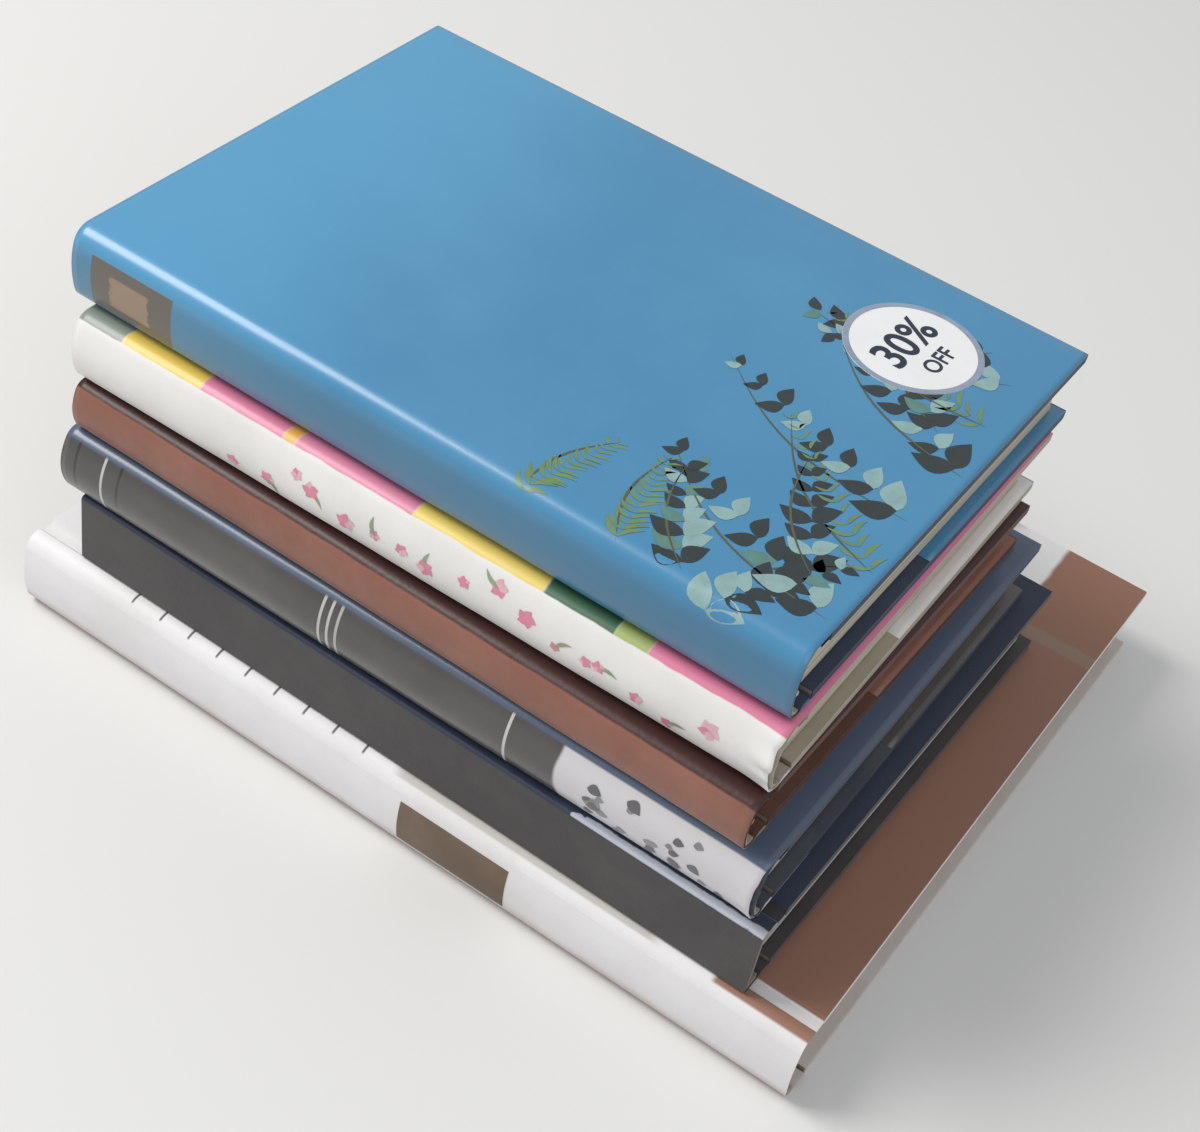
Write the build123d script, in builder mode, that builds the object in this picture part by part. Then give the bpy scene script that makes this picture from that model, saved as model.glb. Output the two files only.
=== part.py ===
from build123d import *
from dataclasses import dataclass
from math import cos, radians, sin, sqrt
import os

# A stack of six hardback books lying flat, spines to -Y, heads to -X, tails to +X.
# Millimetres, +Z up, origin at the middle of the stack's footprint on the table.

# Sheets and boards that all six books share
jacket_paper = 0.3  # folded dust jacket
case_skin = 0.3  # cloth or printed paper glued over the boards
pastedown_paper = 0.4  # endpaper half glued inside a board, with the turned-in skin under it
board = 2.3  # binder's board of a cover
spine_card = 1.0  # card inside a rounded spine
turn_in = 15.0  # how far the skin is folded in round a board
square = 3.5  # how far the covers stand out past the pages
pastedown_margin = 4.0  # skin left showing round a pastedown
flap = 88.0  # jacket flap, measured from the fore-edge
band_height = 1.6  # how far a head or tail band stands off the pages
band_depth = 2.4  # its thickness across the spine
lean = 0.3  # running clearance round the one cover that opens

# Joint between spine and board: the board starts here, and the skin dips in front of it
joint_end = 13.0
groove_width = 5.0
groove_depth = 1.5

# Stickers
sticker_radius = 20.5
sticker_thickness = 0.15
sticker_along = 196.0  # from the head of the top book
sticker_across = 128.0  # from its spine
label_along = (146.0, 184.0)  # from the head of the bottom book
label_height = (4.5, 20.5)  # above the table, on its spine
label_thickness = 0.15


@dataclass
class Book:
    """One hardback: height runs along the spine, width runs from spine to fore-edge."""

    name: str
    height: float
    width: float
    thickness: float
    bulge: float  # how far the middle of the spine stands out
    shoulder: float  # radius where the spine turns into a cover
    head: float  # the head's distance from the bottom book's head
    setback: float  # the spine's distance behind the bottom book's spine
    turn: float  # degrees about +Z
    jacketed: bool = True
    spine_board: float = spine_card
    bottom: float = 0.0

    @property
    def skin(self):
        """Depth of the case's outer face under the book's outer face."""
        return jacket_paper if self.jacketed else 0.0

    @property
    def board_face(self):
        return self.skin + case_skin

    @property
    def board_back(self):
        return self.board_face + board

    @property
    def paper_face(self):
        """Depth of the page block under the book's outer face."""
        return self.board_back + pastedown_paper + self.skin

    @property
    def corner(self):
        return Vector(self.head - white.height / 2, self.setback - white.width / 2, self.bottom)

    @property
    def along(self):
        return Vector(cos(radians(self.turn)), sin(radians(self.turn)), 0)

    @property
    def across(self):
        return Vector(-sin(radians(self.turn)), cos(radians(self.turn)), 0)

    def lying(self):
        """Plane on the back cover: x along the spine from the head, y from spine to fore-edge."""
        return Plane(origin=self.corner, x_dir=self.along, z_dir=(0, 0, 1))

    def cut(self, x):
        """Plane square to the spine, x from the head: its x is the depth, its y the height."""
        return Plane(origin=self.corner + self.along * x, x_dir=self.across, z_dir=self.along)


white = Book("white_book", 279, 233, 27, 2.5, 5.5, 0, 0, 0, False)
charcoal = Book("charcoal_book", 240, 176, 25, 0, 1.2, 18, 6.5, -0.5, False, board)
slate = Book("slate_book", 240.5, 167, 22.5, 4, 4.5, 12.5, 4, 0.1)
brown = Book("brown_book", 231, 159, 17, 2.5, 4, 14, 7.5, -0.6)
floral = Book("floral_book", 232, 160, 22.5, 3.5, 5, 13, 8.5, 0.5)
blue = Book("blue_book", 235, 164.5, 24.5, 2.5, 6, 8, 14, 0)
stack = [white, charcoal, slate, brown, floral, blue]
for lower, upper in zip(stack, stack[1:]):
    upper.bottom = lower.bottom + lower.thickness

hinge_depth = joint_end - groove_width / 2
both_ends = (Align.MIN, Align.MIN, Align.MIN)
written = []


def save(part, name):
    part.label = name
    export_step(part, f"parts/{name}.step")
    written.append(name)


def outline(book, inset):
    """The book's outer section, moved in by inset: covers, rounded spine and square fore-edge."""
    low, high, fore = inset, book.thickness - inset, book.width - inset
    middle = book.thickness / 2
    with BuildSketch(Plane.XY, mode=Mode.PRIVATE) as shape:
        with BuildLine():
            if book.bulge:
                radius = (book.bulge**2 + middle**2) / (2 * book.bulge)
                near = radius - sqrt((radius - inset) ** 2 - (middle - inset) ** 2)
                ThreePointArc((near, low), (inset, middle), (near, high))
            else:
                near = inset
                Line((near, low), (near, high))
            Polyline((near, high), (fore, high), (fore, low), (near, low))
        make_face()
        corners = shape.vertices().group_by(Axis.X)[0]
        if book.shoulder > inset:
            fillet(corners, book.shoulder - inset)
    return shape.sketch


def block(corner, size, mode=Mode.ADD):
    """A box from its lowest corner, in the builder's own plane."""
    with Locations(corner):
        Box(*size, align=both_ends, mode=mode)


def jacket_section(book):
    """The folded jacket cut square to the spine: panels, spine and both flaps."""
    reach = book.paper_face
    with BuildSketch(Plane.XY, mode=Mode.PRIVATE) as section:
        add(outline(book, 0))
        add(outline(book, jacket_paper), mode=Mode.SUBTRACT)
        with Locations((book.width - jacket_paper, reach)):
            Rectangle(
                jacket_paper, book.thickness - 2 * reach, align=(Align.MIN, Align.MIN), mode=Mode.SUBTRACT
            )
        for low in (reach - jacket_paper, book.thickness - reach):
            with Locations((book.width - flap, low)):
                Rectangle(flap, jacket_paper, align=(Align.MIN, Align.MIN))
    return section.sketch


def make_jacket(book, name, near=None, far=None):
    """The jacket, or one side of it where near and far bound its depth and the upper half."""
    with BuildPart(book.lying()) as jacket:
        with BuildSketch(book.cut(0)):
            add(jacket_section(book))
        extrude(amount=book.height)
        if near is not None:
            keep_cover_side(book, near)
        if far is not None:
            keep_spine_side(book, far)
    save(jacket.part, name)


def keep_cover_side(book, near):
    """Keep what rides with the front cover: above mid-height and beyond the hinge."""
    lying = book.lying()
    split(bisect_by=lying.offset(book.thickness / 2), keep=Keep.TOP)
    hinge_side = Plane(origin=lying.origin + book.across * near, x_dir=book.along, z_dir=book.across)
    split(bisect_by=hinge_side, keep=Keep.TOP)


def keep_spine_side(book, far):
    """Take away what rides with the front cover, in a builder that lies on the book's plane."""
    block((-1, far, book.thickness / 2), (book.height + 2, book.width, book.thickness), Mode.SUBTRACT)


def case_section(book):
    """Skin of the case cut square to the spine, with its joint grooves and no fore-edge."""
    start, end = joint_end - groove_width - 1, joint_end
    with BuildSketch(Plane.XY, mode=Mode.PRIVATE) as section:
        add(outline(book, book.skin))
        add(outline(book, book.board_face), mode=Mode.SUBTRACT)
        with Locations((book.width - book.board_face, 0)):
            Rectangle(
                book.board_face, book.thickness, align=(Align.MIN, Align.MIN), mode=Mode.SUBTRACT
            )
        with Locations((start, 0)):
            Rectangle(end - start, book.thickness, align=(Align.MIN, Align.MIN), mode=Mode.SUBTRACT)
        for face, way in ((book.skin, 1), (book.thickness - book.skin, -1)):
            skin, dip = case_skin * way, groove_depth * way
            with BuildLine():
                Polyline(
                    (start, face),
                    (start + 1.5, face + dip),
                    (end - 1, face + dip),
                    (end, face),
                    (end, face + skin),
                    (end - 0.9, face + dip + skin),
                    (start + 1.4, face + dip + skin),
                    (start, face + skin),
                    close=True,
                )
            make_face()
    return section.sketch


def board_box(book, top):
    """Lowest corner and size of one cover's board, in the book's own plane."""
    low = book.thickness - book.board_back if top else book.board_face
    fore = book.width - book.board_face
    size = (book.height - 2 * case_skin, fore - joint_end, board)
    return (case_skin, joint_end, low), size


def wrap_board(book, top):
    """Skin folded round the three free edges of a board and turned in on its inner face."""
    (x, y, z), (length, width, thick) = board_box(book, top)
    inner = z - case_skin if top else z + thick
    outer = min(z, inner) - (0 if top else case_skin)
    block((0, y, outer), (book.height, width + case_skin, thick + 2 * case_skin))
    block((x, y, z), (length, width, thick), Mode.SUBTRACT)
    opening = (book.height - 2 * turn_in, width - turn_in, case_skin)
    block((turn_in, y, inner), opening, Mode.SUBTRACT)


def make_case(book, name, near=None, far=None):
    """The skin that joins both boards and the spine, or one side of it."""
    with BuildPart(book.lying()) as case:
        with BuildSketch(book.cut(0)):
            add(case_section(book))
        extrude(amount=book.height)
        wrap_board(book, False)
        wrap_board(book, True)
        if near is not None:
            keep_cover_side(book, near)
        if far is not None:
            keep_spine_side(book, far)
    save(case.part, name)


def make_board(book, top):
    corner, size = board_box(book, top)
    with BuildPart(book.lying()) as cover:
        block(corner, size)
    save(cover.part, f"{book.name}_{'front' if top else 'back'}_board")


def make_spine(book):
    """Card or board between the joints, bent to the spine's curve."""
    depth = joint_end - groove_width - 1.5
    with BuildPart() as spine:
        with BuildSketch(book.cut(case_skin)):
            add(outline(book, book.board_face))
            add(outline(book, book.board_face + book.spine_board), mode=Mode.SUBTRACT)
            with Locations((depth, 0)):
                Rectangle(
                    book.width, book.thickness, align=(Align.MIN, Align.MIN), mode=Mode.SUBTRACT
                )
        extrude(amount=book.height - 2 * case_skin)
    save(spine.part, f"{book.name}_spine_{'board' if not book.bulge else 'card'}")


def make_pastedown(book, top):
    """The endpaper half glued inside a cover, stepped where it climbs over the turned-in skin."""
    (x, y, z), (length, width, thick) = board_box(book, top)
    over = pastedown_paper - case_skin
    step = z - pastedown_paper if top else z + thick + case_skin
    inner = z - case_skin if top else z + thick
    with BuildPart(book.lying()) as sheet:
        block(
            (pastedown_margin, y, step),
            (book.height - 2 * pastedown_margin, width - pastedown_margin, over),
        )
        block((turn_in, y, inner), (book.height - 2 * turn_in, width - turn_in, case_skin))
    save(sheet.part, f"{book.name}_{'front' if top else 'back'}_endpaper")


def page_limits(book):
    """Lowest and highest face of the page block, with clearance under a cover that opens."""
    top = book.thickness - book.paper_face
    return book.paper_face, top - (lean if book is blue else 0)


def page_section(book):
    """Page block cut square to the spine: its fore-edge is hollow where its back is round."""
    low, high = page_limits(book)
    fore = book.width - book.board_face - square
    back = book.board_face + book.spine_board + 0.8
    with BuildSketch(Plane.XY, mode=Mode.PRIVATE) as section:
        add(outline(book, back))
        with Locations((0, high)):
            Rectangle(book.width, book.thickness, align=(Align.MIN, Align.MIN), mode=Mode.SUBTRACT)
        Rectangle(book.width, low, align=(Align.MIN, Align.MIN), mode=Mode.SUBTRACT)
        with BuildLine():
            if book.bulge:
                ThreePointArc((fore, low), (fore - book.bulge, (low + high) / 2), (fore, high))
            else:
                Line((fore, low), (fore, high))
            Polyline((fore, high), (book.width, high), (book.width, low), (fore, low))
        make_face(mode=Mode.SUBTRACT)
    return section.sketch


def make_pages(book):
    with BuildPart() as pages:
        with BuildSketch(book.cut(case_skin + square)):
            add(page_section(book))
        extrude(amount=book.height - 2 * (case_skin + square))
    save(pages.part, f"{book.name}_pages")


def band_section(book):
    """A sewn band cut square to the spine: a bead along the back of the page block."""
    back = book.board_face + book.spine_board + 0.8
    with BuildSketch(Plane.XY, mode=Mode.PRIVATE) as section:
        add(page_section(book))
        add(outline(book, back + band_depth), mode=Mode.SUBTRACT)
        with Locations((joint_end - 4, 0)):
            Rectangle(book.width, book.thickness, align=(Align.MIN, Align.MIN), mode=Mode.SUBTRACT)
    return section.sketch


def make_bands(book):
    """Head and tail bands: a node each where the cover opens, and one pair in the other books."""
    ends = {
        "head": case_skin + square - band_height,
        "tail": book.height - case_skin - square,
    }
    groups = {f"{end}_band": [start] for end, start in ends.items()}
    if book is not blue:
        groups = {"bands": list(ends.values())}
    for group, starts in groups.items():
        with BuildPart() as band:
            for start in starts:
                with BuildSketch(book.cut(start)):
                    add(band_section(book))
                extrude(amount=band_height)
        save(band.part, f"{book.name}_{group}")


def make_book(book):
    make_pages(book)
    make_bands(book)
    make_spine(book)
    for top in (True, False):
        make_board(book, top)
        make_pastedown(book, top)
    if book is blue:
        make_case(book, f"{book.name}_case_front", near=hinge_depth + lean / 2)
        make_case(book, f"{book.name}_case_back", far=hinge_depth - lean / 2)
        make_jacket(book, f"{book.name}_jacket_front", near=hinge_depth + lean / 2)
        make_jacket(book, f"{book.name}_jacket_back", far=hinge_depth - lean / 2)
    else:
        make_case(book, f"{book.name}_case")
        if book.jacketed:
            make_jacket(book, f"{book.name}_jacket")


def make_sticker():
    """Round price sticker on the top book's front panel."""
    with BuildPart() as sticker:
        with BuildSketch(blue.lying().offset(blue.thickness)):
            with Locations((sticker_along, sticker_across)):
                Circle(sticker_radius)
        extrude(amount=sticker_thickness)
    save(sticker.part, "round_sticker")


def make_label():
    """Stock label bent over the bottom book's spine."""
    low, high = label_height
    with BuildPart() as label:
        with BuildSketch(white.cut(label_along[0])):
            add(outline(white, -label_thickness))
            add(outline(white, 0), mode=Mode.SUBTRACT)
            with Locations((-1, low)):
                Rectangle(white.shoulder + 1, high - low, align=(Align.MIN, Align.MIN), mode=Mode.INTERSECT)
        extrude(amount=label_along[1] - label_along[0])
    save(label.part, "spine_label")


for book in stack:
    make_book(book)
make_sticker()
make_label()
print(len(written), "nodes, hinge axis at depth", hinge_depth, "height", blue.bottom + blue.thickness)
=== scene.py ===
from dataclasses import dataclass, fields
from math import atan2, cos, hypot, pi, radians, sin, sqrt
import random

import bpy
from mathutils import Matrix, Vector, noise


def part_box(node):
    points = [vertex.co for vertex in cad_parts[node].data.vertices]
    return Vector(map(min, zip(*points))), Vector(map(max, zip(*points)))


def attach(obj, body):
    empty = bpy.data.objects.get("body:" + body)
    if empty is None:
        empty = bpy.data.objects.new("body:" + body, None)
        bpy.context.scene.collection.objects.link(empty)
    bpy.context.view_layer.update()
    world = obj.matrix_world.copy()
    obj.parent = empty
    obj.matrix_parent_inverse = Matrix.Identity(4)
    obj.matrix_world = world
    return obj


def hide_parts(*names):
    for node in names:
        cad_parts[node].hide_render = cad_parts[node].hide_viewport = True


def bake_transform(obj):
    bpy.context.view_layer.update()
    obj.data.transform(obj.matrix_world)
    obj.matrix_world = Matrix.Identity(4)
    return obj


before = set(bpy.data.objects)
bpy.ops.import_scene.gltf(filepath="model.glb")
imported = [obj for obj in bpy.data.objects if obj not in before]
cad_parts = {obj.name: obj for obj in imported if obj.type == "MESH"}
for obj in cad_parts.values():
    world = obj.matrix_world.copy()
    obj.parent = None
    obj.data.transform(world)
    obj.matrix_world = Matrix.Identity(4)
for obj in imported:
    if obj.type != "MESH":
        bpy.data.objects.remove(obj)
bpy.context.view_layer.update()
scene = bpy.context.scene
scene.view_settings.view_transform = "Standard"

# A stack of six hardback books. Metres; heads of the books to -X, spines to -Y.
MM = 0.001
PAPER = 0.3 * MM  # thickness of a dust jacket
FLAP = 88 * MM
COVER_DEPTH = 3.3 * MM  # from the jacket's face to the page block
PRINT_LIFT = 0.06 * MM  # printed shapes lie this far over the paper
RELIEF_DEPTH = 0.2 * MM
TEAR_LENGTH = 11 * MM  # how far from the tail a jacket curls


@dataclass
class Jacket:
    """Outer size and place of a jacketed book, in millimetres as its construction has them."""

    height: float  # along the spine
    width: float  # from spine to fore-edge
    thickness: float
    bulge: float  # how far the middle of the spine stands out
    shoulder: float  # radius where the spine turns into a cover
    head: float  # distance from the bottom book's head
    setback: float  # distance behind the bottom book's spine
    bottom: float  # height over the table
    turn: float = 0.0  # degrees about +Z
    curl: float = 0.0  # how far the torn tail of the spine stands out

    def __post_init__(self):
        for field in fields(self):
            if field.name != "turn":
                setattr(self, field.name, getattr(self, field.name) * MM)


BLUE = Jacket(235, 164.5, 24.5, bulge=2.5, shoulder=6, head=8, setback=14, bottom=114)
FLORAL = Jacket(
    232, 160, 22.5, bulge=3.5, shoulder=5, head=13, setback=8.5, bottom=91.5, turn=0.5, curl=2.2
)
BROWN = Jacket(
    231, 159, 17, bulge=2.5, shoulder=4, head=14, setback=7.5, bottom=74.5, turn=-0.6, curl=0.4
)
SLATE = Jacket(
    240.5, 167, 22.5, bulge=4, shoulder=4.5, head=12.5, setback=4, bottom=52, turn=0.1, curl=2.6
)
stack_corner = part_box("white_book_case")[0]

# Places of printed fields, measured along the spine from the head (u) and round the
# section from the middle of the spine, positive towards the front cover (v)
PANEL_U = (7 * MM, 36 * MM)
PANEL_V = (-9 * MM, 7.5 * MM)
INNER_PANEL_U = (14 * MM, 28 * MM)
INNER_PANEL_V = (-6 * MM, 4 * MM)
PAST_EDGE = 400 * MM  # beyond the far edge of any jacket
STRIPES_START = 10.5 * MM
STRIPES = [  # start and end in millimetres, colour
    (0, 16, (0.26, 0.30, 0.26)),
    (16, 44, (0.78, 0.55, 0.10)),
    (44, 73, (0.72, 0.22, 0.34)),
    (73, 77, (0.80, 0.42, 0.08)),
    (77, 117, (0.72, 0.24, 0.36)),
    (117, 158, (0.80, 0.60, 0.14)),
    (158, 180, (0.05, 0.13, 0.07)),
    (180, 190, (0.36, 0.44, 0.14)),
    (190, 233, (0.70, 0.20, 0.32)),
]
RULES = [  # ruled lines across the slate spine: start in millimetres, colour
    (5, (0.03, 0.03, 0.03)),
    (15, (0.5, 0.5, 0.5)),
    (21, (0.03, 0.03, 0.03)),
    (96, (0.5, 0.5, 0.48)),
    (99, (0.5, 0.5, 0.48)),
    (102, (0.42, 0.42, 0.40)),
    (160, (0.55, 0.54, 0.52)),
]
RULE_WIDTH = 0.9
PALE_SPINE_START = 176 * MM
TICK_SPACING = 11 * MM
TWIGS = [  # u, v, heading in degrees and reach of each printed twig
    (232, 24, 155, 70),
    (233, 46, 140, 62),
    (230, 70, 160, 74),
    (233, 96, 150, 66),
    (228, 120, 165, 60),
    (225, 142, 190, 62),
    (196, 14, 120, 40),
    (150, 10, 75, 34),
    (214, 152, 215, 50),
    (205, 6, 60, 44),
    (178, 12, 100, 36),
    (222, 34, 120, 48),
    (219, 108, 130, 46),
]
BLOSSOMS = 17
PETALS = 5
BLOSSOM_SPACING = 9.4
PEBBLES = 26
WORDS_TURN = radians(90)
RING_WIDTH = 1.9 * MM

# ---------------------------------------------------------------- camera and light

AZIMUTH, ELEVATION, ROLL = radians(25.81), radians(42.86), radians(12.33)
CAMERA_PLACE = Vector((213.5, -450.0, 488.6)) * MM
CAMERA_LENS = 64.02


def make_camera():
    ahead = Vector((-sin(AZIMUTH) * cos(ELEVATION), cos(AZIMUTH) * cos(ELEVATION), -sin(ELEVATION)))
    level = ahead.cross(Vector((0, 0, 1))).normalized()
    upright = level.cross(ahead)
    right = level * cos(ROLL) + upright * sin(ROLL)
    up = upright * cos(ROLL) - level * sin(ROLL)
    data = bpy.data.cameras.new("camera")
    data.lens = CAMERA_LENS
    data.sensor_width = 36
    camera = bpy.data.objects.new("camera", data)
    scene.collection.objects.link(camera)
    turn = Matrix((right, up, -ahead)).transposed().to_4x4()
    camera.matrix_world = Matrix.Translation(CAMERA_PLACE) @ turn
    scene.camera = camera


def make_light(name, place, size, power, colour):
    data = bpy.data.lights.new(name, "AREA")
    data.size = size
    data.energy = power
    data.color = colour
    light = bpy.data.objects.new(name, data)
    scene.collection.objects.link(light)
    light.location = place
    light.rotation_euler = (-Vector(place)).to_track_quat("-Z", "Y").to_euler()


def make_studio():
    make_light("key", (-1.1, -0.5, 1.5), 0.9, 26, (1.0, 0.98, 0.95))
    make_light("fill", (1.3, -0.9, 0.9), 1.4, 7, (0.93, 0.96, 1.0))
    world = bpy.data.worlds.new("studio")
    world.use_nodes = True
    world.node_tree.nodes["Background"].inputs["Color"].default_value = (0.86, 0.87, 0.88, 1)
    world.node_tree.nodes["Background"].inputs["Strength"].default_value = 0.55
    scene.world = world
    mesh = bpy.data.meshes.new("floor")
    reach = 6.0
    corners = [(-reach, -reach, 0), (reach, -reach, 0), (reach, reach, 0), (-reach, reach, 0)]
    mesh.from_pydata(corners, [], [(0, 1, 2, 3)])
    floor = bpy.data.objects.new("floor", mesh)
    scene.collection.objects.link(floor)
    plain, _, shader = new_material("pale floor")
    shader.inputs["Base Color"].default_value = (0.74, 0.74, 0.73, 1)
    shader.inputs["Roughness"].default_value = 0.8
    mesh.materials.append(plain)


# ---------------------------------------------------------------- shader groups

def group(name, inputs, outputs):
    tree = bpy.data.node_groups.new(name, "ShaderNodeTree")
    for label, kind, value in inputs:
        socket = tree.interface.new_socket(label, in_out="INPUT", socket_type=kind)
        if value is not None:
            socket.default_value = value
    for label, kind in outputs:
        tree.interface.new_socket(label, in_out="OUTPUT", socket_type=kind)
    return tree, tree.nodes.new("NodeGroupInput"), tree.nodes.new("NodeGroupOutput")


def add_node(tree, kind, **settings):
    made = tree.nodes.new(kind)
    for key, value in settings.items():
        setattr(made, key, value)
    return made


def arithmetic(tree, operation, first, second):
    made = add_node(tree, "ShaderNodeMath", operation=operation)
    for index, value in enumerate((first, second)):
        if isinstance(value, (int, float)):
            made.inputs[index].default_value = value
        else:
            tree.links.new(value, made.inputs[index])
    return made.outputs[0]


def mix(tree, factor, first, second):
    made = add_node(tree, "ShaderNodeMix", data_type="RGBA")
    for index, value in ((0, factor), (6, first), (7, second)):
        if isinstance(value, (int, float)):
            made.inputs[index].default_value = value
        elif isinstance(value, tuple):
            made.inputs[index].default_value = (*value, 1)
        else:
            tree.links.new(value, made.inputs[index])
    return made.outputs[2]


FLOAT, COLOUR, VECTOR = "NodeSocketFloat", "NodeSocketColor", "NodeSocketVector"


def make_mottle_group():
    """Cloudy change from one colour to another, with fine fibres in it."""
    tree, given, out = group(
        "mottled colour",
        [("Vector", VECTOR, None), ("Colour", COLOUR, (1, 1, 1, 1)), ("Worn Colour", COLOUR, (0, 0, 0, 1)),
         ("Cloud Scale", FLOAT, 30), ("Amount", FLOAT, 0.5)],
        [("Colour", COLOUR), ("Mask", FLOAT)],
    )
    cloud = add_node(tree, "ShaderNodeTexNoise")
    cloud.inputs["Detail"].default_value = 7
    cloud.inputs["Roughness"].default_value = 0.62
    tree.links.new(given.outputs["Vector"], cloud.inputs["Vector"])
    tree.links.new(given.outputs["Cloud Scale"], cloud.inputs["Scale"])
    ramp = add_node(tree, "ShaderNodeMapRange")
    ramp.inputs["From Min"].default_value = 0.42
    ramp.inputs["From Max"].default_value = 0.72
    tree.links.new(cloud.outputs["Fac"], ramp.inputs["Value"])
    mask = arithmetic(tree, "MULTIPLY", ramp.outputs[0], given.outputs["Amount"])
    colour = mix(tree, mask, given.outputs["Colour"], given.outputs["Worn Colour"])
    tree.links.new(colour, out.inputs["Colour"])
    tree.links.new(mask, out.inputs["Mask"])
    return tree


def make_grain_group():
    """Fine surface relief: fibres, and rubbed patches that change the gloss."""
    tree, given, out = group(
        "surface grain",
        [("Vector", VECTOR, None), ("Scale", FLOAT, 900), ("Stretch", VECTOR, (1, 1, 1)),
         ("Roughness", FLOAT, 0.5), ("Rub", FLOAT, 0.15)],
        [("Height", FLOAT), ("Roughness", FLOAT)],
    )
    stretched = add_node(tree, "ShaderNodeVectorMath", operation="MULTIPLY")
    tree.links.new(given.outputs["Vector"], stretched.inputs[0])
    tree.links.new(given.outputs["Stretch"], stretched.inputs[1])
    fibre = add_node(tree, "ShaderNodeTexNoise")
    fibre.inputs["Detail"].default_value = 4
    tree.links.new(stretched.outputs[0], fibre.inputs["Vector"])
    tree.links.new(given.outputs["Scale"], fibre.inputs["Scale"])
    patch = add_node(tree, "ShaderNodeTexNoise")
    patch.inputs["Scale"].default_value = 45
    patch.inputs["Detail"].default_value = 5
    tree.links.new(given.outputs["Vector"], patch.inputs["Vector"])
    patches = arithmetic(tree, "SUBTRACT", patch.outputs["Fac"], 0.5)
    rubbed = arithmetic(tree, "MULTIPLY", patches, given.outputs["Rub"])
    tree.links.new(fibre.outputs["Fac"], out.inputs["Height"])
    tree.links.new(arithmetic(tree, "ADD", given.outputs["Roughness"], rubbed), out.inputs["Roughness"])
    return tree


def make_leaves_group():
    """Edges of the pages: a great many thin leaves lying flat."""
    tree, given, out = group(
        "page leaves",
        [("Vector", VECTOR, None), ("Paper", COLOUR, (1, 1, 1, 1)), ("Shade", COLOUR, (0, 0, 0, 1))],
        [("Colour", COLOUR), ("Height", FLOAT)],
    )
    flat = add_node(tree, "ShaderNodeVectorMath", operation="MULTIPLY")
    flat.inputs[1].default_value = (6, 6, 1500)
    tree.links.new(given.outputs["Vector"], flat.inputs[0])
    leaf = add_node(tree, "ShaderNodeTexNoise")
    leaf.inputs["Scale"].default_value = 1.4
    leaf.inputs["Detail"].default_value = 3
    tree.links.new(flat.outputs[0], leaf.inputs["Vector"])
    ramp = add_node(tree, "ShaderNodeMapRange")
    ramp.inputs["From Min"].default_value = 0.38
    ramp.inputs["From Max"].default_value = 0.66
    tree.links.new(leaf.outputs["Fac"], ramp.inputs["Value"])
    colour = mix(tree, ramp.outputs[0], given.outputs["Paper"], given.outputs["Shade"])
    tree.links.new(colour, out.inputs["Colour"])
    tree.links.new(leaf.outputs["Fac"], out.inputs["Height"])
    return tree


MOTTLE = make_mottle_group()
GRAIN = make_grain_group()
LEAVES = make_leaves_group()


def use(tree, source, **values):
    made = add_node(tree, "ShaderNodeGroup", node_tree=source)
    for key, value in values.items():
        socket = made.inputs[key.replace("_", " ")]
        if isinstance(value, tuple):
            socket.default_value = (*value, 1) if socket.type == "RGBA" else value
        elif isinstance(value, (int, float)):
            socket.default_value = value
        else:
            tree.links.new(value, socket)
    return made


@dataclass
class Field:
    """Handles on a material's tree while its colour is being built."""

    tree: object
    where: object  # position on the surface, in metres
    across: object  # its second coordinate
    along: object  # its first
    high: object  # its third, zero on a jacket
    colour: object  # what feeds the base colour so far


def raise_surface(tree, shader, height, strength):
    bump = add_node(tree, "ShaderNodeBump")
    bump.inputs["Strength"].default_value = strength
    bump.inputs["Distance"].default_value = RELIEF_DEPTH
    tree.links.new(height, bump.inputs["Height"])
    tree.links.new(bump.outputs["Normal"], shader.inputs["Normal"])


def new_material(name):
    made = bpy.data.materials.new(name)
    made.use_nodes = True
    return made, made.node_tree, made.node_tree.nodes["Principled BSDF"]


def surface(name, colour, worn, roughness, grain=900, relief=0.15, amount=0.5, cloud=30, rub=0.15,
            stretch=(1, 1, 1), developed=False, coat=0.0, sheen=0.0, paint=None):
    """A paper, cloth or board finish; paint may lay printed colours, painted shade and painted highlights
    over its own.
    """
    made, tree, shader = new_material(name)
    place = add_node(tree, "ShaderNodeTexCoord")
    where = place.outputs["UV" if developed else "Object"]
    parts = add_node(tree, "ShaderNodeSeparateXYZ")
    tree.links.new(where, parts.inputs[0])
    mottle = use(
        tree, MOTTLE, Vector=where, Colour=colour, Worn_Colour=worn, Cloud_Scale=cloud, Amount=amount
    )
    relief_group = use(
        tree, GRAIN, Vector=where, Scale=grain, Stretch=stretch, Roughness=roughness, Rub=rub
    )
    along, across, high = parts.outputs
    field = Field(tree, where, across, along, high, mottle.outputs["Colour"])
    if paint:
        paint(field)
    tree.links.new(field.colour, shader.inputs["Base Color"])
    tree.links.new(relief_group.outputs["Roughness"], shader.inputs["Roughness"])
    raise_surface(tree, shader, relief_group.outputs["Height"], relief)
    shader.inputs["Coat Weight"].default_value = coat
    shader.inputs["Coat Roughness"].default_value = 0.18
    shader.inputs["Sheen Weight"].default_value = sheen
    return made


def page_edges(name, paper, shade):
    made, tree, shader = new_material(name)
    place = add_node(tree, "ShaderNodeTexCoord")
    leaves = use(tree, LEAVES, Vector=place.outputs["Object"], Paper=paper, Shade=shade)
    aged = use(tree, MOTTLE, Vector=place.outputs["Object"], Colour=leaves.outputs["Colour"],
               Worn_Colour=tuple(part * 0.7 for part in paper), Cloud_Scale=22, Amount=0.45)
    tree.links.new(aged.outputs["Colour"], shader.inputs["Base Color"])
    shader.inputs["Roughness"].default_value = 0.85
    raise_surface(tree, shader, leaves.outputs["Height"], 0.5)
    return made


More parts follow.
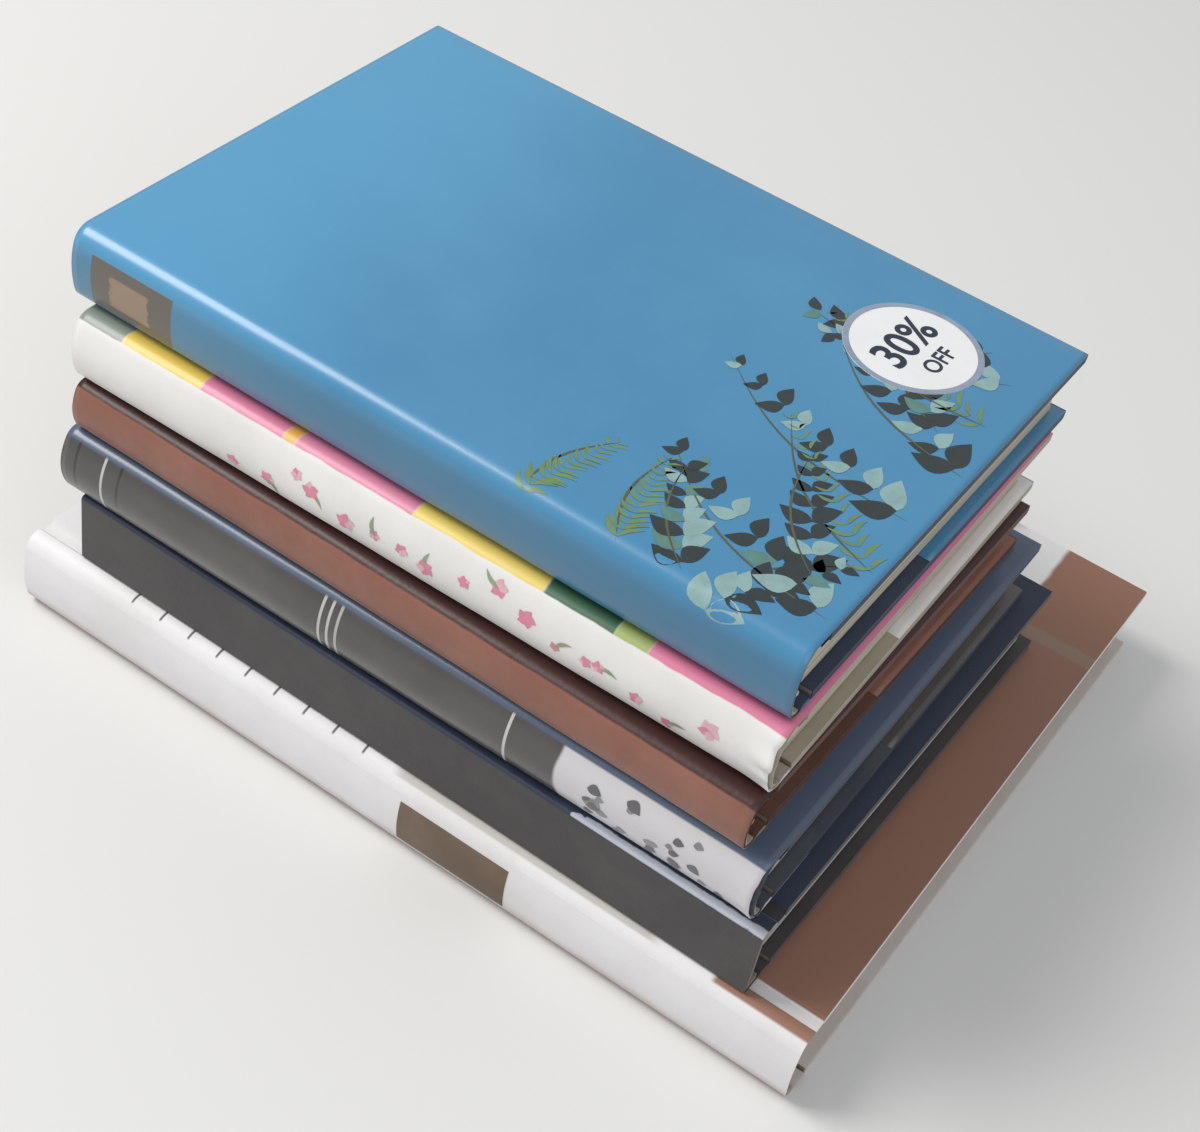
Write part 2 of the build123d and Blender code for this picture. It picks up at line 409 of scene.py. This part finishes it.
def bounded(field, value, low, high, soft=0.4 * MM):
    """1 where value lies between low and high, with a soft printed edge."""
    rise = add_node(field.tree, "ShaderNodeMapRange", interpolation_type="SMOOTHSTEP")
    fall = add_node(field.tree, "ShaderNodeMapRange", interpolation_type="SMOOTHSTEP")
    for ramp, middle in ((rise, low), (fall, high)):
        field.tree.links.new(value, ramp.inputs["Value"])
        ramp.inputs["From Min"].default_value = middle - soft
        ramp.inputs["From Max"].default_value = middle + soft
    return arithmetic(field.tree, "SUBTRACT", rise.outputs[0], fall.outputs[0])


def washed(field, value, size=120, reach=3 * MM):
    """The same coordinate with an uneven, hand-painted edge."""
    cloud = add_node(field.tree, "ShaderNodeTexNoise")
    cloud.inputs["Scale"].default_value = size
    field.tree.links.new(field.where, cloud.inputs["Vector"])
    shift = both(field, arithmetic(field.tree, "SUBTRACT", cloud.outputs["Fac"], 0.5), reach)
    return arithmetic(field.tree, "ADD", value, shift)


def both(field, first, second):
    """Where two masks meet, or one mask at a given strength."""
    return arithmetic(field.tree, "MULTIPLY", first, second)


def lay(field, mask, colour):
    field.colour = mix(field.tree, mask, field.colour, colour)


# ---------------------------------------------------------------- jacket shapes

def spine_half(book, inset):
    """Upper half of the rounded spine, from mid-height to where the cover starts."""
    middle, radius = book.thickness / 2, book.shoulder - inset
    around = (book.bulge**2 + middle**2) / (2 * book.bulge)
    centre = around - sqrt((around - book.shoulder) ** 2 - (middle - book.shoulder) ** 2)
    turn = atan2(middle - book.shoulder, around - centre)
    steps = 10
    points = []
    for step in range(steps):
        angle = turn * step / steps
        points.append((around - (around - inset) * cos(angle), middle + (around - inset) * sin(angle)))
    for step in range(steps + 1):
        angle = turn + (pi / 2 - turn) * step / steps
        points.append((centre - radius * cos(angle), book.thickness - book.shoulder + radius * sin(angle)))
    return points


def cover_run(book, inset):
    """From the end of the spine's curve over the cover and its fold to the flap's edge."""
    fore, top = book.width - inset, book.thickness - inset
    start = spine_half(book, inset)[-1][0]
    steps = 34
    points = [(start + (fore - MM - start) * step / steps, top) for step in range(1, steps + 1)]
    flap_top = book.thickness - COVER_DEPTH + inset
    fold = (top - flap_top) / 2
    for step in range(1, 8):
        angle = pi * step / 8
        points.append((fore - MM + MM * sin(angle), top - fold * (1 - cos(angle))))
    flap_steps = 8
    points += [(fore - MM - (FLAP - MM) * step / flap_steps, flap_top) for step in range(flap_steps + 1)]
    return points


def jacket_path(book):
    """Section from the back flap round the spine to the front flap, with its developed length."""
    inset = PAPER / 2
    upper = spine_half(book, inset) + cover_run(book, inset)
    lower = [(y, book.thickness - z) for y, z in upper[1:]]
    points = lower[::-1] + upper
    middle = len(lower)
    lengths = [0.0] * len(points)
    for index in range(middle + 1, len(points)):
        lengths[index] = lengths[index - 1] + hypot(
            points[index][0] - points[index - 1][0], points[index][1] - points[index - 1][1])
    for index in range(middle - 1, -1, -1):
        lengths[index] = lengths[index + 1] - hypot(
            points[index][0] - points[index + 1][0], points[index][1] - points[index + 1][1])
    return points, lengths


def spine_share(book, depth):
    """1 on the spine's face, falling to 0 where the cover begins."""
    return max(0.0, min(1.0, 1 - depth / (book.shoulder * 1.2)))


def handled(book, along, depth, high):
    """How handling has moved the paper: a wavy spine and a curled, torn tail."""
    share = spine_share(book, depth)
    wave = noise.noise(Vector((along * 38, high * 60, book.bottom * 50)))
    out = 0.25 * MM * share * (wave + 0.3)
    near_tail = max(0.0, 1 - (book.height - along) / TEAR_LENGTH)
    ragged = noise.noise(Vector((high * 260, book.bottom * 90, 3.1)))
    out += book.curl * share * near_tail**2 * (0.45 + 0.7 * ragged)
    slip = book.curl * share * near_tail * (0.5 * ragged - 0.4)
    return -max(out, -0.1 * MM), slip


def place_on(book, along, depth, high):
    turn = radians(book.turn)
    corner = Vector((stack_corner.x + book.head, stack_corner.y + book.setback, book.bottom))
    flat = Vector((cos(turn) * along - sin(turn) * depth, sin(turn) * along + cos(turn) * depth, high))
    return corner + flat


def link_mesh(name, points, faces, corners=None):
    mesh = bpy.data.meshes.new(name)
    mesh.from_pydata(points, [], faces)
    if corners:
        layer = mesh.uv_layers.new(name="developed")
        for loop in mesh.loops:
            layer.data[loop.index].uv = corners[loop.vertex_index]
    mesh.shade_smooth()
    made = bpy.data.objects.new(name, mesh)
    scene.collection.objects.link(made)
    return made


def settle(obj):
    """Fix the modifiers into the mesh."""
    shape = bpy.data.meshes.new_from_object(obj.evaluated_get(bpy.context.evaluated_depsgraph_get()))
    obj.modifiers.clear()
    obj.data = shape


def make_sheet(book, name, first, last, material):
    """A jacket, or the part of its section between two developed lengths, as folded paper."""
    points, lengths = jacket_path(book)
    kept = [index for index, length in enumerate(lengths) if first <= length <= last]
    steps = 118
    vertices, corners, faces = [], [], []
    for step in range(steps + 1):
        along = book.height * step / steps
        for index in kept:
            depth, high = points[index]
            out, slip = handled(book, along, depth, high)
            vertices.append(place_on(book, along + slip, depth + out, high))
            corners.append((along, lengths[index]))
    count = len(kept)
    for step in range(steps):
        for index in range(count - 1):
            low = step * count + index
            faces.append((low, low + 1, low + count + 1, low + count))
    sheet = link_mesh(name, vertices, faces, corners)
    sheet.data.materials.append(material)
    thick = sheet.modifiers.new("paper", "SOLIDIFY")
    thick.thickness = PAPER
    thick.offset = 0
    settle(sheet)
    return sheet


def on_paper(book, along, length, lift=PRINT_LIFT):
    """Point over the jacket's outer face at a developed length from the spine's middle."""
    points, lengths = jacket_path(book)
    for index in range(len(points) - 1):
        if lengths[index] <= length <= lengths[index + 1]:
            break
    share = (length - lengths[index]) / (lengths[index + 1] - lengths[index])
    (y0, z0), (y1, z1) = points[index], points[index + 1]
    run, rise = y1 - y0, z1 - z0
    size = hypot(run, rise)
    depth, high = y0 + run * share, z0 + rise * share
    out, slip = handled(book, along, depth, high)
    over = PAPER / 2 + lift
    return place_on(book, along + slip, depth + out - rise / size * over, high + run / size * over)


class Print:
    """Flat printed shapes gathered into one mesh that follows a jacket."""

    def __init__(self, book):
        self.book = book
        self.points, self.faces, self.inks = [], [], []
        self.layer = 0

    def blade(self, along, length, angle, long, wide, ink, steps=8):
        """A leaf or petal from its stalk, pointed at both ends."""
        start = len(self.points)
        self.layer = (self.layer + 1) % 7
        lift = PRINT_LIFT + self.layer * 0.012 * MM
        for step in range(steps + 1):
            share = step / steps
            half = wide / 2 * sin(pi * share**0.8) + 0.02 * MM
            bend = 0.12 * long * sin(pi * share)
            for side in (-half, 0, half):
                u = along + cos(angle) * long * share - sin(angle) * (side + bend)
                v = length + sin(angle) * long * share + cos(angle) * (side + bend)
                u = max(0.4 * MM, min(self.book.height - 0.4 * MM, u))
                self.points.append(on_paper(self.book, u, v, lift))
        for step in range(steps):
            for side in (0, 1):
                low = start + step * 3 + side
                self.faces.append((low, low + 3, low + 4, low + 1))
                self.inks.append(ink)

    def finish(self, name, inks):
        made = link_mesh(name, self.points, self.faces)
        for ink in inks:
            made.data.materials.append(ink)
        for face, ink in zip(made.data.polygons, self.inks):
            face.material_index = ink
        return made


# ---------------------------------------------------------------- finishes of the jackets

def paint_blue(field):
    paler = bounded(field, washed(field, field.along, 14, 90 * MM), -0.2, 62 * MM, 45 * MM)
    lay(field, both(field, paler, 0.55), (0.10, 0.36, 0.60))
    # Painted shade: the spine's face and shoulders are darkened against the top cover.
    spine = bounded(field, field.across, -20 * MM, 7 * MM, 3 * MM)
    lay(field, both(field, spine, 0.45), (0.035, 0.10, 0.15))
    panel = bounded(field, field.along, *PANEL_U, 0.2 * MM)
    panel = both(field, panel, bounded(field, field.across, *PANEL_V, 0.2 * MM))
    lay(field, panel, (0.12, 0.10, 0.085))
    inner = bounded(field, washed(field, field.along, 300, 5 * MM), *INNER_PANEL_U)
    inner = both(field, inner, bounded(field, field.across, *INNER_PANEL_V))
    lay(field, inner, (0.30, 0.20, 0.13))


def paint_floral(field):
    above = bounded(field, washed(field, field.across, 90, 1.2 * MM), STRIPES_START, PAST_EDGE, 0.25 * MM)
    uneven = washed(field, field.along, 60, 4 * MM)
    for start, end, colour in STRIPES:
        band = bounded(field, uneven, start * MM, end * MM, 0.5 * MM)
        lay(field, both(field, above, band), colour)


def paint_brown(field):
    front = bounded(field, washed(field, field.across, 80, 0.8 * MM), 7.5 * MM, PAST_EDGE, 0.4 * MM)
    lay(field, front, (0.045, 0.012, 0.010))
    edge = bounded(field, field.across, -20 * MM, -6.3 * MM, 0.3 * MM)
    lay(field, edge, (0.36, 0.24, 0.15))


def paint_slate(field):
    pale = bounded(field, washed(field, field.along, 26, 16 * MM), PALE_SPINE_START, PAST_EDGE, 0.8 * MM)
    spine = bounded(field, field.across, -40 * MM, 10 * MM, 0.5 * MM)
    lay(field, both(field, pale, spine), (0.62, 0.60, 0.62))
    front = bounded(field, field.across, 10 * MM, PAST_EDGE, 0.5 * MM)
    lay(field, front, (0.085, 0.12, 0.19))
    for start, colour in RULES:
        line = bounded(field, field.along, start * MM, (start + RULE_WIDTH) * MM, 0.12 * MM)
        lay(field, both(field, line, spine), colour)


BLUE_PAPER = surface("blue jacket paper", (0.055, 0.235, 0.43), (0.09, 0.30, 0.50), 0.34, relief=0.06,
                     developed=True, coat=0.35, cloud=12, paint=paint_blue)
FLORAL_PAPER = surface("flowered jacket paper", (0.80, 0.79, 0.77), (0.62, 0.58, 0.54), 0.42, relief=0.08,
                       developed=True, coat=0.2, cloud=28, amount=0.4, paint=paint_floral)
BROWN_PAPER = surface("terracotta jacket paper", (0.24, 0.095, 0.065), (0.34, 0.16, 0.12), 0.46, grain=700,
                      relief=0.5, developed=True, coat=0.1, cloud=40, paint=paint_brown)
SLATE_PAPER = surface("slate jacket paper", (0.070, 0.066, 0.062), (0.13, 0.12, 0.11), 0.33, relief=0.08,
                      developed=True, coat=0.3, cloud=24, paint=paint_slate)


def make_jackets():
    """The blue jacket is one sheet over its hinge, with the back cover's panel beside it."""
    points, lengths = jacket_path(BLUE)
    spine_end = BLUE.thickness * 0.55
    front = make_sheet(BLUE, "blue_jacket_spine_and_front", -spine_end, lengths[-1], BLUE_PAPER)
    back = make_sheet(BLUE, "blue_jacket_back", lengths[0], -spine_end + 4 * MM, BLUE_PAPER)
    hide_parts("blue_book_jacket_front")
    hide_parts("blue_book_jacket_back")
    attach(back, "books")
    over_hinge(front)
    for book, paper, label in ((FLORAL, FLORAL_PAPER, "floral"), (BROWN, BROWN_PAPER, "brown"),
                               (SLATE, SLATE_PAPER, "slate")):
        ends = jacket_path(book)[1]
        sheet = make_sheet(book, f"{label}_jacket_sheet", ends[0], ends[-1], paper)
        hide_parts(f"{label}_book_jacket")
        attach(sheet, "books")


def over_hinge(obj):
    """Fix the placement of paper over the front cover's joint into its mesh; it is not made to bend."""
    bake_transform(obj)


# ---------------------------------------------------------------- cased books, pages and boards

def paint_charcoal(field):
    lay(field, bounded(field, field.high, 51.2 * MM, 53 * MM, 0.3 * MM), (0.020, 0.030, 0.065))
    # Painted highlight: a pale bluish line along the top edge of the spine, between 60 and 130 mm along.
    painted_highlight_stretch = bounded(field, washed(field, field.along, 200, 20 * MM), 60 * MM, 130 * MM)
    rim = bounded(field, field.high, 51.3 * MM, 53 * MM, 0.2 * MM)
    edge = bounded(field, washed(field, field.across, 300, 1.2 * MM), -112 * MM, -109.2 * MM, 0.3 * MM)
    rim = both(field, rim, edge)
    lay(field, both(field, painted_highlight_stretch, rim), (0.45, 0.48, 0.55))


def paint_white(field):
    """White boards with thin ruled marks near the spine, a woven rug's colours at the tail, painted shade
    along the bottom and a painted shadow over the middle of the top.
    """
    shaded = bounded(field, washed(field, field.high, 60, 3 * MM), -9 * MM, 5 * MM, 3 * MM)
    lay(field, both(field, shaded, 0.6), (0.42, 0.32, 0.26))
    top = bounded(field, field.high, 26 * MM, 30 * MM, 0.3 * MM)
    marks = add_node(field.tree, "ShaderNodeMath", operation="FRACT")
    field.tree.links.new(arithmetic(field.tree, "MULTIPLY", field.along, 1 / TICK_SPACING), marks.inputs[0])
    ticks = bounded(field, marks.outputs[0], 0.03, 0.10, 0.02)
    strip = bounded(field, field.across, -114 * MM, -108.5 * MM, 0.3 * MM)
    head_part = bounded(field, field.along, -100 * MM, -5 * MM)
    for mask in (strip, head_part, top):
        ticks = both(field, ticks, mask)
    lay(field, ticks, (0.10, 0.09, 0.09))
    # Painted shadow of the books above: a warm grey over the top between 2 and 92 mm along.
    grey = bounded(field, washed(field, field.along, 70, 12 * MM), 2 * MM, 92 * MM, 3 * MM)
    lay(field, both(field, grey, both(field, top, 0.6)), (0.34, 0.31, 0.27))
    rug = bounded(field, washed(field, field.along, 60, 5 * MM), 110 * MM, 300 * MM, 1 * MM)
    lay(field, both(field, rug, top), (0.30, 0.15, 0.10))
    band = bounded(field, washed(field, field.across, 60, 2 * MM), 68 * MM, 74 * MM, 0.8 * MM)
    lay(field, both(field, band, top), (0.30, 0.20, 0.14))


CLOTH_CHARCOAL = surface("charcoal book cloth", (0.034, 0.030, 0.030), (0.07, 0.062, 0.06), 0.6, grain=1600,
                         relief=0.5, cloud=40, sheen=0.15, paint=paint_charcoal)
CLOTH_WHITE = surface("white ribbed book cloth", (0.80, 0.79, 0.80), (0.60, 0.56, 0.53), 0.5, grain=260,
                      relief=0.45, cloud=24, amount=0.35, stretch=(0.4, 9, 9), paint=paint_white)
CASE_COLOURS = {
    "blue": ((0.03, 0.05, 0.09), (0.06, 0.08, 0.12)),
    "floral": ((0.42, 0.38, 0.30), (0.30, 0.26, 0.20)),
    "brown": ((0.10, 0.04, 0.03), (0.16, 0.08, 0.05)),
    "slate": ((0.05, 0.06, 0.08), (0.10, 0.11, 0.13)),
}
ENDPAPERS = {
    "blue": (0.020, 0.028, 0.065), "floral": (0.45, 0.41, 0.35), "brown": (0.020, 0.018, 0.018),
    "slate": (0.016, 0.016, 0.018), "charcoal": (0.05, 0.05, 0.07), "white": (0.30, 0.26, 0.22),
}
PAGES = {
    "blue": (0.60, 0.55, 0.45), "floral": (0.66, 0.60, 0.48), "brown": (0.58, 0.52, 0.42),
    "slate": (0.60, 0.56, 0.48), "charcoal": (0.62, 0.60, 0.56), "white": (0.58, 0.58, 0.56),
}
BANDS = {
    "blue": (0.65, 0.62, 0.55), "floral": (0.55, 0.25, 0.25), "brown": (0.40, 0.30, 0.20),
    "slate": (0.15, 0.15, 0.17), "charcoal": (0.10, 0.12, 0.25), "white": (0.70, 0.68, 0.62),
}


def give(node, material):
    """Give a carried-over node its finish."""
    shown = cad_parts[node]
    shown.data.materials.clear()
    shown.data.materials.append(material)


def finish_nodes():
    greyboard = surface("grey binder's board", (0.23, 0.19, 0.15), (0.33, 0.29, 0.24), 0.85, grain=500,
                        relief=0.6, cloud=120)
    card = surface("spine card", (0.42, 0.36, 0.28), (0.30, 0.25, 0.19), 0.8, grain=600,
                   relief=0.4, cloud=90)
    for book in ("blue", "floral", "brown", "slate", "charcoal", "white"):
        paper = PAGES[book]
        edges = page_edges(f"{book} page edges", paper, tuple(part * 0.45 for part in paper))
        end = ENDPAPERS[book]
        rubbed = tuple(part * 1.5 for part in end)
        endpaper = surface(f"{book} endpaper", end, rubbed, 0.7, relief=0.2, cloud=50)
        thread = surface(f"{book} band thread", BANDS[book], tuple(part * 0.6 for part in BANDS[book]), 0.75,
                         grain=700, relief=0.8, stretch=(1, 1, 5))
        if book in CASE_COLOURS:
            skin = surface(f"{book} case cloth", *CASE_COLOURS[book], 0.62, grain=1500, relief=0.5)
        else:
            skin = CLOTH_CHARCOAL if book == "charcoal" else CLOTH_WHITE
        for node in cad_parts:
            if not node.startswith(f"{book}_book"):
                continue
            if node.endswith("pages"):
                give(node, edges)
            elif node.endswith("endpaper"):
                give(node, endpaper)
            elif node.endswith(("band", "bands")):
                give(node, thread)
            elif "_case" in node:
                give(node, skin)
            elif node.endswith("spine_card"):
                give(node, card)
            elif node.endswith("board"):
                give(node, greyboard)
    label = surface("stock label paper", (0.13, 0.085, 0.055), (0.22, 0.16, 0.11), 0.55, relief=0.15)
    sticker = surface("sticker paper", (0.80, 0.81, 0.82), (0.68, 0.69, 0.70), 0.4, relief=0.08)
    give("spine_label", label)
    give("round_sticker", sticker)


# ---------------------------------------------------------------- printed shapes

def ink(name, colour):
    thin = tuple(part * 0.6 for part in colour)
    return surface(name, colour, thin, 0.36, relief=0.06, cloud=220, coat=0.3)


def make_foliage():
    """Twigs of rounded leaves and ferny sprigs on the tail side of the blue jacket."""
    leaves = Print(BLUE)
    draw = random.Random(11)
    for number, (along, length, heading, reach) in enumerate(TWIGS):
        angle = radians(heading)
        u, v = along * MM, length * MM
        fern = number % 3 == 1
        pairs = 15 if fern else 8
        spacing = reach * MM / pairs
        leaves.blade(u, v, angle, reach * MM, 0.7 * MM, 4, steps=14)
        for pair in range(pairs):
            step = spacing * (pair + 0.5)
            base = (u + cos(angle) * step, v + sin(angle) * step)
            shrink = 1 - 0.55 * pair / pairs
            long = (7.5 if fern else 11) * MM * shrink * draw.uniform(0.8, 1.15)
            wide = long * (0.20 if fern else 0.58)
            for side in (-1, 1):
                tone = 1 if fern else draw.choice((0, 0, 2, 0, 3))
                spread = side * radians(draw.uniform(42, 62))
                leaves.blade(*base, angle + spread, long, wide, tone)
    made = leaves.finish("printed_foliage", [
        ink("dark leaf ink", (0.022, 0.034, 0.036)), ink("fern ink", (0.15, 0.26, 0.11)),
        ink("teal leaf ink", (0.10, 0.24, 0.21)), ink("pale teal ink", (0.26, 0.42, 0.42)),
        ink("twig ink", (0.09, 0.10, 0.05)),
    ])
    over_hinge(made)


def make_blossoms():
    """Loose five-petalled blossoms along the white spine."""
    blossoms = Print(FLORAL)
    draw = random.Random(4)
    for number in range(BLOSSOMS):
        u = (60 + number * BLOSSOM_SPACING + draw.uniform(-3, 3)) * MM
        v = draw.uniform(-6.5, 6) * MM
        size = draw.uniform(1.7, 3.4) * MM
        for petal in range(PETALS):
            tone = 0 if draw.random() < 0.6 else 1
            blossoms.blade(u, v, petal * 2 * pi / PETALS + number, size, size * 0.8, tone)
        if number % 2:
            blossoms.blade(u, v, draw.uniform(0, 2 * pi), 6 * MM, 1.3 * MM, 2)
    made = blossoms.finish("printed_blossoms", [
        ink("pink petal ink", (0.72, 0.24, 0.34)), ink("pale petal ink", (0.78, 0.45, 0.52)),
        ink("sprig ink", (0.28, 0.36, 0.20)),
    ])
    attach(made, "books")


def make_pebbles():
    """Rounded grey pebbles where the slate spine turns pale."""
    pebbles = Print(SLATE)
    draw = random.Random(9)
    for number in range(PEBBLES):
        u = draw.uniform(186, 234) * MM
        v = draw.uniform(-9, 6) * MM
        size = draw.uniform(2.5, 5.0) * MM
        pebbles.blade(u, v, draw.uniform(-0.5, 0.5), size, size * 0.75, number % 2)
    made = pebbles.finish("printed_pebbles", [
        ink("grey pebble ink", (0.25, 0.25, 0.27)), ink("dark pebble ink", (0.12, 0.12, 0.13)),
    ])
    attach(made, "books")


def make_sticker_print():
    """Grey ring and the words on the round price sticker."""
    low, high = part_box("round_sticker")
    centre, radius = (low + high) / 2, (high.x - low.x) / 2
    grey = ink("sticker ring ink", (0.27, 0.33, 0.44))
    dark = ink("sticker word ink", (0.012, 0.02, 0.05))
    sides, inner, outer = 96, radius - RING_WIDTH, radius - 0.05 * MM
    points = []
    for side in range(sides):
        angle = 2 * pi * side / sides
        for reach in (inner, outer):
            place = centre + Vector((cos(angle), sin(angle), 0)) * reach
            points.append((place.x, place.y, high.z + PRINT_LIFT))
    faces = []
    for side in range(sides):
        here, after = 2 * side, 2 * ((side + 1) % sides)
        faces.append((here, here + 1, after + 1, after))
    ring = link_mesh("sticker_ring", points, faces)
    ring.data.materials.append(grey)
    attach(ring, "front_cover")
    for words, size, step in (("30%", 15 * MM, 2.5 * MM), ("OFF", 7.5 * MM, -8.5 * MM)):
        curve = bpy.data.curves.new(words, "FONT")
        curve.body = words
        curve.size = size
        curve.align_x = "CENTER"
        curve.align_y = "CENTER"
        curve.offset = size * 0.018
        curve.extrude = 0.02 * MM
        curve.materials.append(dark)
        sign = bpy.data.objects.new("sticker_number" if words == "30%" else "sticker_word", curve)
        scene.collection.objects.link(sign)
        sign.rotation_euler = (0, 0, WORDS_TURN)
        sign.location = centre + Vector((-sin(WORDS_TURN) * step, cos(WORDS_TURN) * step, 0))
        sign.location.z = high.z + PRINT_LIFT
        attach(sign, "front_cover")


make_camera()
make_studio()
make_jackets()
finish_nodes()
make_foliage()
make_blossoms()
make_pebbles()
make_sticker_print()
